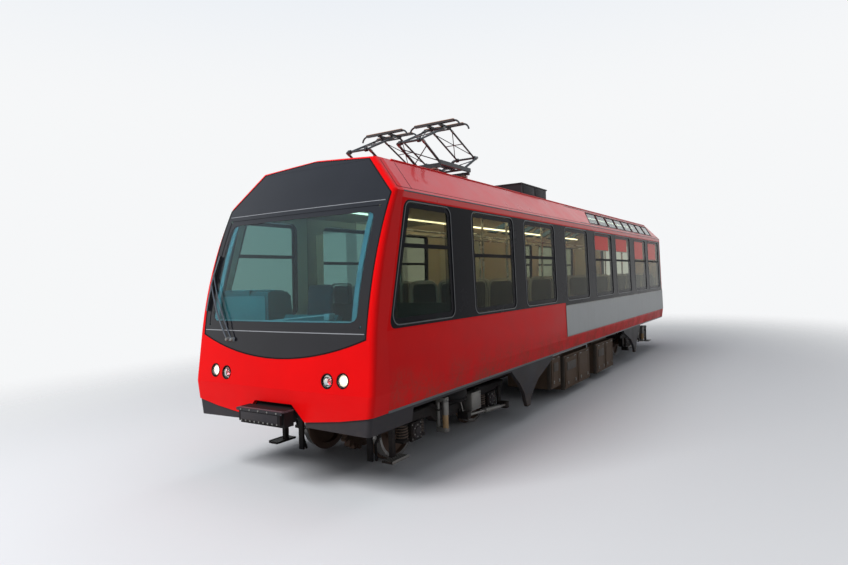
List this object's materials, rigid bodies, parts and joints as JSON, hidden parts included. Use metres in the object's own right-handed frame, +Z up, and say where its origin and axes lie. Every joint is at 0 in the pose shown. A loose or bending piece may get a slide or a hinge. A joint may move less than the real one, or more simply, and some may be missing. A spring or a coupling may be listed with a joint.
{
  "type": "rack railway car",
  "caption": "Electric rack railway car with a raked glass front, window bands, bogies with rack pinions, sliding door leaves and twin folding pantographs.",
  "frame": {"origin": "on the floor under the middle of the car's box, at the level of the lowest points of the wheel flanges", "axes": "+X across the car to the side with no doorway, +Y along the car from the cab to the gangway, +Z up"},
  "size_m": [2.61, 14.1, 4.2951],
  "materials": {
    "red_paint": "gloss",
    "black_band": "gloss",
    "mask_black": "gloss",
    "clear_glass": "clear",
    "roof_glass": "tinted",
    "grey_paint": "satin",
    "pale_panel": "satin",
    "case_paint": "dusty",
    "chassis_black": "dusty",
    "wheel_steel": "worn",
    "cream_lining": "satin",
    "desk_plastic": "satin",
    "seat_fabric": "woven",
    "frame_grey": "satin",
    "rail_steel": "satin",
    "light_diffuser": "satin",
    "blind_red": "woven",
    "lamp_white": "frosted",
    "lamp_red": "tinted",
    "bellows_rubber": "matt",
    "panto_metal": "satin",
    "contact_strip": "worn"
  },
  "bodies": {
    "car_body": {"nose_shell": "red_paint", "front_mask": "mask_black", "windscreen": "clear_glass", "head_lamps": "lamp_white", "tail_lamps": "lamp_red", "lower_wall_right": "red_paint", "lower_wall_left": "red_paint", "window_band_right": "black_band", "window_band_left": "black_band", "side_glass": "clear_glass", "roof_edge_right": "red_paint", "roof_edge_left": "red_paint", "roof_edge_glass": "roof_glass", "roof_panel": "red_paint", "rear_wall": "red_paint", "gangway_bellows": "bellows_rubber", "underframe": "chassis_black", "cab_partition": "cream_lining", "draught_screens": "cream_lining", "driver_desk": "desk_plastic", "driver_seat": "seat_fabric", "passenger_seats": "seat_fabric", "seat_frames": "frame_grey", "handrails": "rail_steel", "ceiling_lights": "light_diffuser", "roller_blinds": "blind_red", "side_panels": "pale_panel", "valance": "grey_paint", "front_coupler": "chassis_black", "rear_drawbar": "chassis_black", "skirt_brackets": "grey_paint", "underfloor_cases": "case_paint", "roof_equipment": "grey_paint", "wiper": "chassis_black", "pantograph_bases": "panto_metal"},
    "door_front": {"door_leaf_front": "red_paint", "door_glass_front": "clear_glass"},
    "door_rear": {"door_leaf_rear": "red_paint", "door_glass_rear": "clear_glass"},
    "bogie_front": {"bogie_front_frame": "chassis_black", "bogie_front_drives": "chassis_black"},
    "bogie_rear": {"bogie_rear_frame": "chassis_black", "bogie_rear_drives": "chassis_black"},
    "wheelset_1": {"wheelset_1": "wheel_steel"},
    "wheelset_2": {"wheelset_2": "wheel_steel"},
    "wheelset_3": {"wheelset_3": "wheel_steel"},
    "wheelset_4": {"wheelset_4": "wheel_steel"},
    "pantograph_right_front_lower": {"pantograph_right_front_lower_arm": "panto_metal"},
    "pantograph_right_front_upper": {"pantograph_right_front_upper_arm": "panto_metal"},
    "pantograph_right_rear_lower": {"pantograph_right_rear_lower_arm": "panto_metal"},
    "pantograph_right_rear_upper": {"pantograph_right_rear_upper_arm": "panto_metal"},
    "pantograph_right_head": {"pantograph_right_head": "contact_strip"},
    "pantograph_left_front_lower": {"pantograph_left_front_lower_arm": "panto_metal"},
    "pantograph_left_front_upper": {"pantograph_left_front_upper_arm": "panto_metal"},
    "pantograph_left_rear_lower": {"pantograph_left_rear_lower_arm": "panto_metal"},
    "pantograph_left_rear_upper": {"pantograph_left_rear_upper_arm": "panto_metal"},
    "pantograph_left_head": {"pantograph_left_head": "contact_strip"}
  },
  "joints": [
    {"name": "pantograph_right_raise", "type": "hinge", "parent": "car_body", "child": "pantograph_right_front_lower", "pos_m": [0.43, -4.31, 3.683], "axis": [-1, 0, 0], "range_deg": [-22, 30]},
    {"name": "pantograph_right_rear_lower_turn", "type": "hinge", "parent": "car_body", "child": "pantograph_right_rear_lower", "pos_m": [0.43, -3.71, 3.683], "axis": [1, 0, 0], "range_deg": [-23, 31]},
    {"name": "pantograph_right_front_knee", "type": "hinge", "parent": "pantograph_right_front_lower", "child": "pantograph_right_front_upper", "pos_m": [0.43, -4.76913, 3.92713], "axis": [1, 0, 0], "range_deg": [-40.91, 55.42]},
    {"name": "pantograph_right_rear_knee", "type": "hinge", "parent": "pantograph_right_rear_lower", "child": "pantograph_right_rear_upper", "pos_m": [0.43, -3.25087, 3.92713], "axis": [-1, 0, 0], "range_deg": [-40.91, 55.42]},
    {"name": "pantograph_right_head_turn", "type": "hinge", "parent": "pantograph_right_front_upper", "child": "pantograph_right_head", "pos_m": [0.43, -4.07, 4.22514], "axis": [-1, 0, 0], "range_deg": [-18.91, 25.42]},
    {"name": "pantograph_left_raise", "type": "hinge", "parent": "car_body", "child": "pantograph_left_front_lower", "pos_m": [-0.43, -4.31, 3.683], "axis": [-1, 0, 0], "range_deg": [-22, 30]},
    {"name": "pantograph_left_rear_lower_turn", "type": "hinge", "parent": "car_body", "child": "pantograph_left_rear_lower", "pos_m": [-0.43, -3.71, 3.683], "axis": [1, 0, 0], "range_deg": [-23, 31]},
    {"name": "pantograph_left_front_knee", "type": "hinge", "parent": "pantograph_left_front_lower", "child": "pantograph_left_front_upper", "pos_m": [-0.43, -4.76913, 3.92713], "axis": [1, 0, 0], "range_deg": [-40.91, 55.42]},
    {"name": "pantograph_left_rear_knee", "type": "hinge", "parent": "pantograph_left_rear_lower", "child": "pantograph_left_rear_upper", "pos_m": [-0.43, -3.25087, 3.92713], "axis": [-1, 0, 0], "range_deg": [-40.91, 55.42]},
    {"name": "pantograph_left_head_turn", "type": "hinge", "parent": "pantograph_left_front_upper", "child": "pantograph_left_head", "pos_m": [-0.43, -4.07, 4.22514], "axis": [-1, 0, 0], "range_deg": [-18.91, 25.42]},
    {"name": "door_front_slide", "type": "slide", "parent": "car_body", "child": "door_front", "axis": [0, -1, 0], "range_m": [0, 0.62]},
    {"name": "door_rear_slide", "type": "slide", "parent": "car_body", "child": "door_rear", "axis": [0, 1, 0], "range_m": [0, 0.62]},
    {"name": "bogie_front_turn", "type": "hinge", "parent": "car_body", "child": "bogie_front", "pos_m": [0, -4.51, 0.7], "axis": [0, 0, 1], "range_deg": [-4, 4]},
    {"name": "wheelset_1_spin", "type": "hinge", "parent": "bogie_front", "child": "wheelset_1", "pos_m": [0, -5.485, 0.378], "axis": [1, 0, 0], "continuous": true},
    {"name": "wheelset_2_spin", "type": "hinge", "parent": "bogie_front", "child": "wheelset_2", "pos_m": [0, -3.535, 0.378], "axis": [1, 0, 0], "continuous": true},
    {"name": "bogie_rear_turn", "type": "hinge", "parent": "car_body", "child": "bogie_rear", "pos_m": [0, 5.19, 0.7], "axis": [0, 0, 1], "range_deg": [-4, 4]},
    {"name": "wheelset_3_spin", "type": "hinge", "parent": "bogie_rear", "child": "wheelset_3", "pos_m": [0, 4.215, 0.378], "axis": [1, 0, 0], "continuous": true},
    {"name": "wheelset_4_spin", "type": "hinge", "parent": "bogie_rear", "child": "wheelset_4", "pos_m": [0, 6.165, 0.378], "axis": [1, 0, 0], "continuous": true}
  ],
  "couplings": [
    {"joint": "pantograph_right_rear_lower_turn", "follows": "pantograph_right_raise", "ratio": 1},
    {"joint": "pantograph_right_front_knee", "follows": "pantograph_right_raise", "ratio": 1.814},
    {"joint": "pantograph_right_rear_knee", "follows": "pantograph_right_raise", "ratio": 1.814},
    {"joint": "pantograph_right_head_turn", "follows": "pantograph_right_raise", "ratio": 0.814},
    {"joint": "pantograph_left_rear_lower_turn", "follows": "pantograph_left_raise", "ratio": 1},
    {"joint": "pantograph_left_front_knee", "follows": "pantograph_left_raise", "ratio": 1.814},
    {"joint": "pantograph_left_rear_knee", "follows": "pantograph_left_raise", "ratio": 1.814},
    {"joint": "pantograph_left_head_turn", "follows": "pantograph_left_raise", "ratio": 0.814},
    {"joint": "door_rear_slide", "follows": "door_front_slide", "ratio": 1}
  ]
}
